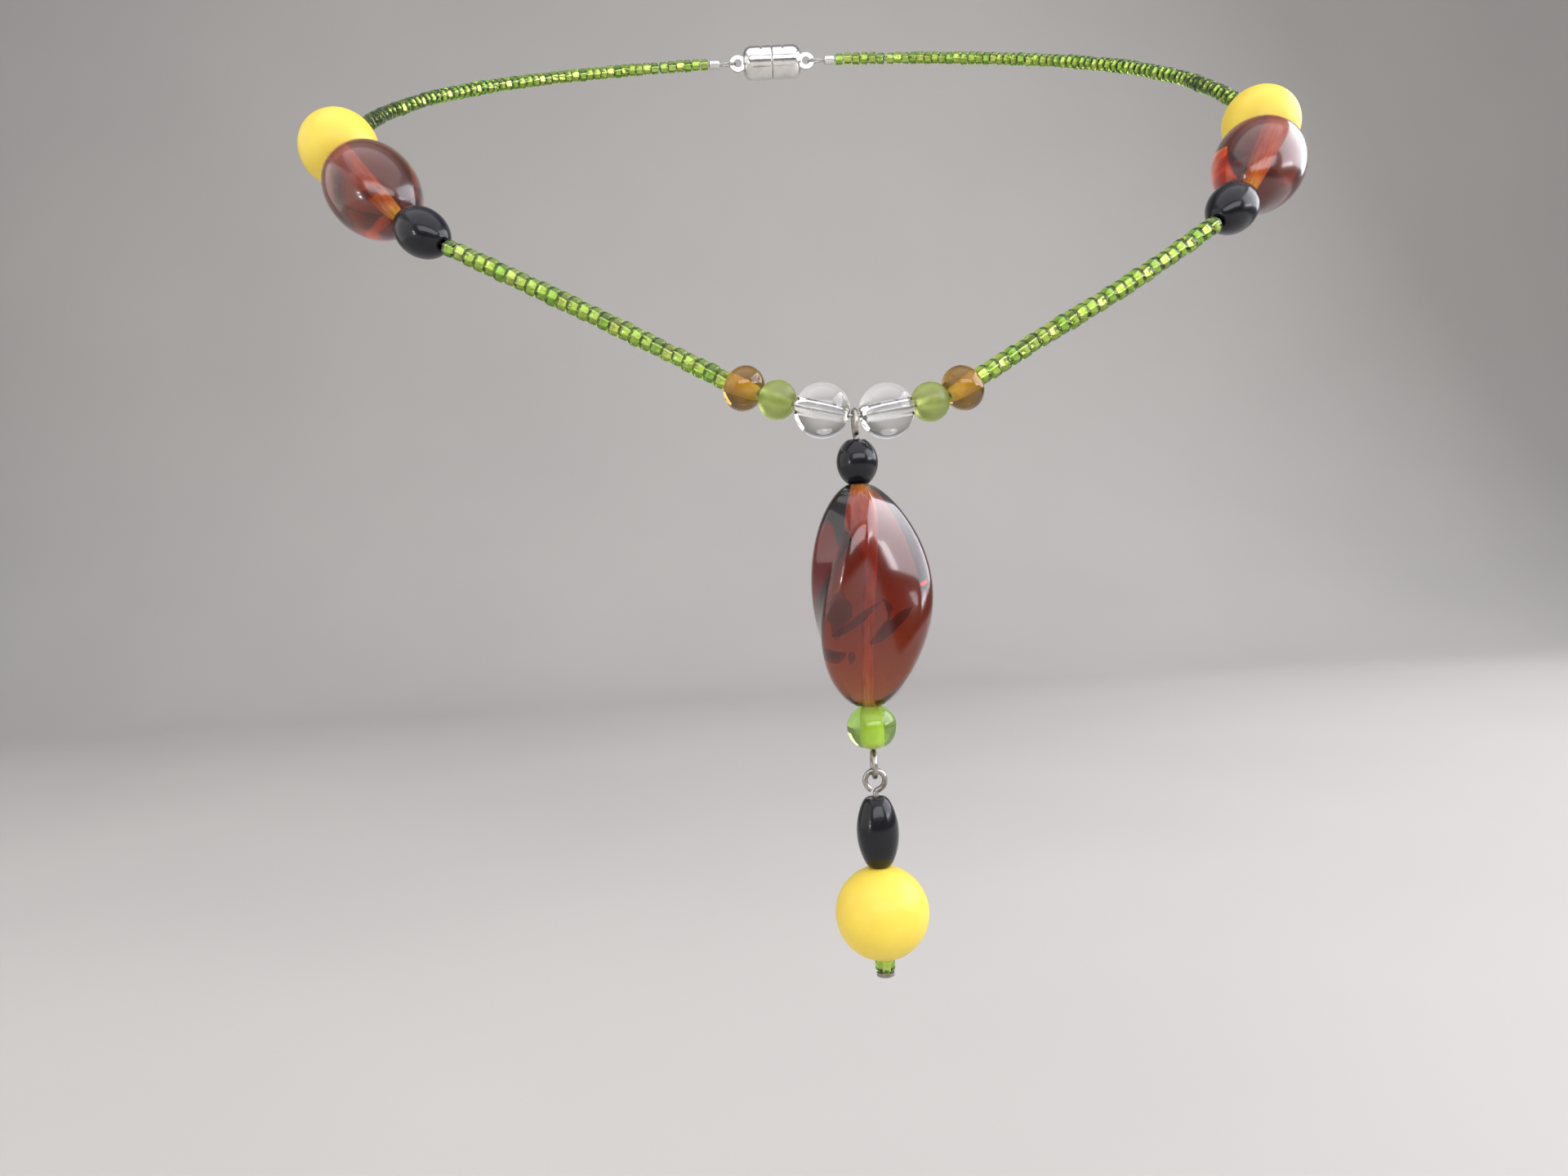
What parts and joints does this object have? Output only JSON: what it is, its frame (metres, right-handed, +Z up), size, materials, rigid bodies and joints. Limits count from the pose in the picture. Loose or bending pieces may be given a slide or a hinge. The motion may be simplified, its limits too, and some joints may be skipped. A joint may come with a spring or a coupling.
{
  "type": "pendant necklace",
  "caption": "Beaded choker of silver-lined seed beads with glass and resin beads, a hanging bead drop with a twisted tortoise bead, and a magnetic clasp.",
  "frame": {"origin": "middle of the neck opening, level with the middle of the worn strand's height", "axes": "+Z up along the hanging drop, +X across the front to a viewer's right, +Y from the front of the neck to its back"},
  "size_m": [0.1316, 0.1064, 0.1419],
  "materials": {
    "seed_glass": "transparent green with a silver lining",
    "clear_glass": "polished, colourless",
    "frosted_glass": "frosted, translucent",
    "amber_glass": "polished, with a golden lining",
    "green_glass": "polished, with a pale lining",
    "black_gloss": "polished",
    "tortoise": "polished resin with dark swirls",
    "yellow": "satin, opaque",
    "strand_wire": "coated cable",
    "pin_wire": "antiqued silver tone",
    "silver_plate": "polished silver plate",
    "magnet": "nickel-plated"
  },
  "bodies": {
    "strand": {"front_wire": "strand_wire", "front_seed_beads_left": "seed_glass", "front_seed_beads_right": "seed_glass"},
    "clear_bead_left": {"clear_bead_left": "clear_glass"},
    "frosted_bead_left": {"frosted_bead_left": "frosted_glass"},
    "amber_bead_left": {"amber_bead_left": "amber_glass"},
    "black_oval_bead_left": {"black_oval_bead_left": "black_gloss"},
    "tortoise_bead_left": {"tortoise_bead_left": "tortoise"},
    "yellow_bead_left": {"yellow_bead_left": "yellow"},
    "clear_bead_right": {"clear_bead_right": "clear_glass"},
    "frosted_bead_right": {"frosted_bead_right": "frosted_glass"},
    "amber_bead_right": {"amber_bead_right": "amber_glass"},
    "black_oval_bead_right": {"black_oval_bead_right": "black_gloss"},
    "tortoise_bead_right": {"tortoise_bead_right": "tortoise"},
    "yellow_bead_right": {"yellow_bead_right": "yellow"},
    "back_left_1": {"back_wire_left_1": "strand_wire", "back_seed_beads_left_1": "seed_glass"},
    "back_left_2": {"back_wire_left_2": "strand_wire", "back_seed_beads_left_2": "seed_glass"},
    "back_left_3": {"back_wire_left_3": "strand_wire", "back_seed_beads_left_3": "seed_glass"},
    "back_left_4": {"back_wire_left_4": "strand_wire", "back_seed_beads_left_4": "seed_glass", "crimp_tube_left": "silver_plate", "clasp_cup_left": "silver_plate", "clasp_magnet_left": "magnet"},
    "back_right_1": {"back_wire_right_1": "strand_wire", "back_seed_beads_right_1": "seed_glass"},
    "back_right_2": {"back_wire_right_2": "strand_wire", "back_seed_beads_right_2": "seed_glass"},
    "back_right_3": {"back_wire_right_3": "strand_wire", "back_seed_beads_right_3": "seed_glass"},
    "back_right_4": {"back_wire_right_4": "strand_wire", "back_seed_beads_right_4": "seed_glass", "crimp_tube_right": "silver_plate", "clasp_cup_right": "silver_plate", "clasp_magnet_right": "magnet"},
    "upper_drop": {"eyepin": "pin_wire"},
    "lower_drop": {"headpin": "pin_wire"},
    "drop_barrel_bead": {"drop_barrel_bead": "black_gloss"},
    "twisted_bead": {"twisted_bead": "tortoise"},
    "drop_green_bead": {"drop_green_bead": "green_glass"},
    "drop_black_bead": {"drop_black_bead": "black_gloss"},
    "drop_yellow_bead": {"drop_yellow_bead": "yellow"},
    "drop_seed_bead": {"drop_seed_bead": "seed_glass"}
  },
  "joints": [
    {"name": "clear_bead_left_spin", "type": "hinge", "parent": "strand", "child": "clear_bead_left", "pos_m": [-0.00135, -0.04929, -0.03908], "axis": [-0.9448, 0.2008, 0.2588], "continuous": true},
    {"name": "frosted_bead_left_spin", "type": "hinge", "parent": "strand", "child": "frosted_bead_left", "pos_m": [-0.00599, -0.04807, -0.03757], "axis": [-0.8827, 0.3039, 0.3584], "continuous": true},
    {"name": "amber_bead_left_spin", "type": "hinge", "parent": "strand", "child": "amber_bead_left", "pos_m": [-0.00944, -0.04671, -0.03596], "axis": [-0.8211, 0.3656, 0.4384], "continuous": true},
    {"name": "black_oval_bead_left_spin", "type": "hinge", "parent": "strand", "child": "black_oval_bead_left", "pos_m": [-0.04635, -0.03318, -0.01356], "axis": [-0.7031, 0.4742, 0.5299], "continuous": true},
    {"name": "tortoise_bead_left_spin", "type": "hinge", "parent": "strand", "child": "tortoise_bead_left", "pos_m": [-0.05369, -0.02695, -0.00621], "axis": [-0.551, 0.5321, 0.6428], "continuous": true},
    {"name": "yellow_bead_left_spin", "type": "hinge", "parent": "strand", "child": "yellow_bead_left", "pos_m": [-0.06003, -0.01908, 0.00203], "axis": [-0.3749, 0.7052, 0.6018], "continuous": true},
    {"name": "clear_bead_right_spin", "type": "hinge", "parent": "strand", "child": "clear_bead_right", "pos_m": [0.00548, -0.04951, -0.03951], "axis": [0.9806, 0.1378, 0.1392], "continuous": true},
    {"name": "frosted_bead_right_spin", "type": "hinge", "parent": "strand", "child": "frosted_bead_right", "pos_m": [0.01034, -0.04859, -0.0387], "axis": [0.9482, 0.2541, 0.1908], "continuous": true},
    {"name": "amber_bead_right_spin", "type": "hinge", "parent": "strand", "child": "amber_bead_right", "pos_m": [0.01412, -0.04754, -0.03727], "axis": [0.8407, 0.2411, 0.4848], "continuous": true},
    {"name": "black_oval_bead_right_spin", "type": "hinge", "parent": "strand", "child": "black_oval_bead_right", "pos_m": [0.05009, -0.03502, -0.01585], "axis": [0.6661, 0.5394, 0.515], "continuous": true},
    {"name": "tortoise_bead_right_spin", "type": "hinge", "parent": "strand", "child": "tortoise_bead_right", "pos_m": [0.05687, -0.028, -0.00866], "axis": [0.4995, 0.5953, 0.6293], "continuous": true},
    {"name": "yellow_bead_right_spin", "type": "hinge", "parent": "strand", "child": "yellow_bead_right", "pos_m": [0.06159, -0.01907, -0.00042], "axis": [0.1249, 0.7888, 0.6018], "continuous": true},
    {"name": "left_half_open", "type": "hinge", "parent": "strand", "child": "back_left_1", "pos_m": [-0.06189, -0.01558, 0.00501], "axis": [0, 0, 1], "range_deg": [0, 18]},
    {"name": "left_flex_2", "type": "hinge", "parent": "back_left_1", "child": "back_left_2", "pos_m": [-0.0581, 0.0085, 0.0183], "axis": [0, 0, 1], "range_deg": [0, 18]},
    {"name": "left_flex_3", "type": "hinge", "parent": "back_left_2", "child": "back_left_3", "pos_m": [-0.0439, 0.031, 0.0306], "axis": [0, 0, 1], "range_deg": [0, 18]},
    {"name": "left_flex_4", "type": "hinge", "parent": "back_left_3", "child": "back_left_4", "pos_m": [-0.02125, 0.0455, 0.0381], "axis": [0, 0, 1], "range_deg": [0, 18]},
    {"name": "right_half_open", "type": "hinge", "parent": "strand", "child": "back_right_1", "pos_m": [0.0622, -0.01516, 0.00257], "axis": [0, 0, -1], "range_deg": [0, 18]},
    {"name": "right_flex_2", "type": "hinge", "parent": "back_right_1", "child": "back_right_2", "pos_m": [0.0581, 0.0085, 0.0183], "axis": [0, 0, -1], "range_deg": [0, 18]},
    {"name": "right_flex_3", "type": "hinge", "parent": "back_right_2", "child": "back_right_3", "pos_m": [0.0439, 0.031, 0.0306], "axis": [0, 0, -1], "range_deg": [0, 18]},
    {"name": "right_flex_4", "type": "hinge", "parent": "back_right_3", "child": "back_right_4", "pos_m": [0.02125, 0.0455, 0.0381], "axis": [0, 0, -1], "range_deg": [0, 18]},
    {"name": "drop_swing", "type": "hinge", "parent": "strand", "child": "upper_drop", "pos_m": [0.002, -0.05, -0.04], "axis": [1, 0, 0], "range_deg": [-80, 25]},
    {"name": "lower_drop_swing", "type": "hinge", "parent": "upper_drop", "child": "lower_drop", "pos_m": [0.002, -0.05, -0.07829], "axis": [0, 1, 0], "range_deg": [-60, 60]},
    {"name": "drop_barrel_bead_spin", "type": "hinge", "parent": "upper_drop", "child": "drop_barrel_bead", "pos_m": [0.002, -0.05, -0.04348], "axis": [0, 0, 1], "continuous": true},
    {"name": "twisted_bead_spin", "type": "hinge", "parent": "upper_drop", "child": "twisted_bead", "pos_m": [0.002, -0.05, -0.04824], "axis": [0, 0, 1], "continuous": true},
    {"name": "drop_green_bead_spin", "type": "hinge", "parent": "upper_drop", "child": "drop_green_bead", "pos_m": [0.002, -0.05, -0.0717], "axis": [0, 0, 1], "continuous": true},
    {"name": "drop_black_bead_spin", "type": "hinge", "parent": "lower_drop", "child": "drop_black_bead", "pos_m": [0.002, -0.05, -0.08152], "axis": [0, 0, 1], "continuous": true},
    {"name": "drop_yellow_bead_spin", "type": "hinge", "parent": "lower_drop", "child": "drop_yellow_bead", "pos_m": [0.002, -0.05, -0.08898], "axis": [0, 0, 1], "continuous": true},
    {"name": "drop_seed_bead_spin", "type": "hinge", "parent": "lower_drop", "child": "drop_seed_bead", "pos_m": [0.002, -0.05, -0.09884], "axis": [0, 0, 1], "continuous": true}
  ],
  "couplings": [
    {"joint": "left_flex_2", "follows": "left_half_open", "ratio": 1},
    {"joint": "left_flex_3", "follows": "left_half_open", "ratio": 1},
    {"joint": "left_flex_4", "follows": "left_half_open", "ratio": 1},
    {"joint": "right_flex_2", "follows": "right_half_open", "ratio": 1},
    {"joint": "right_flex_3", "follows": "right_half_open", "ratio": 1},
    {"joint": "right_flex_4", "follows": "right_half_open", "ratio": 1}
  ]
}
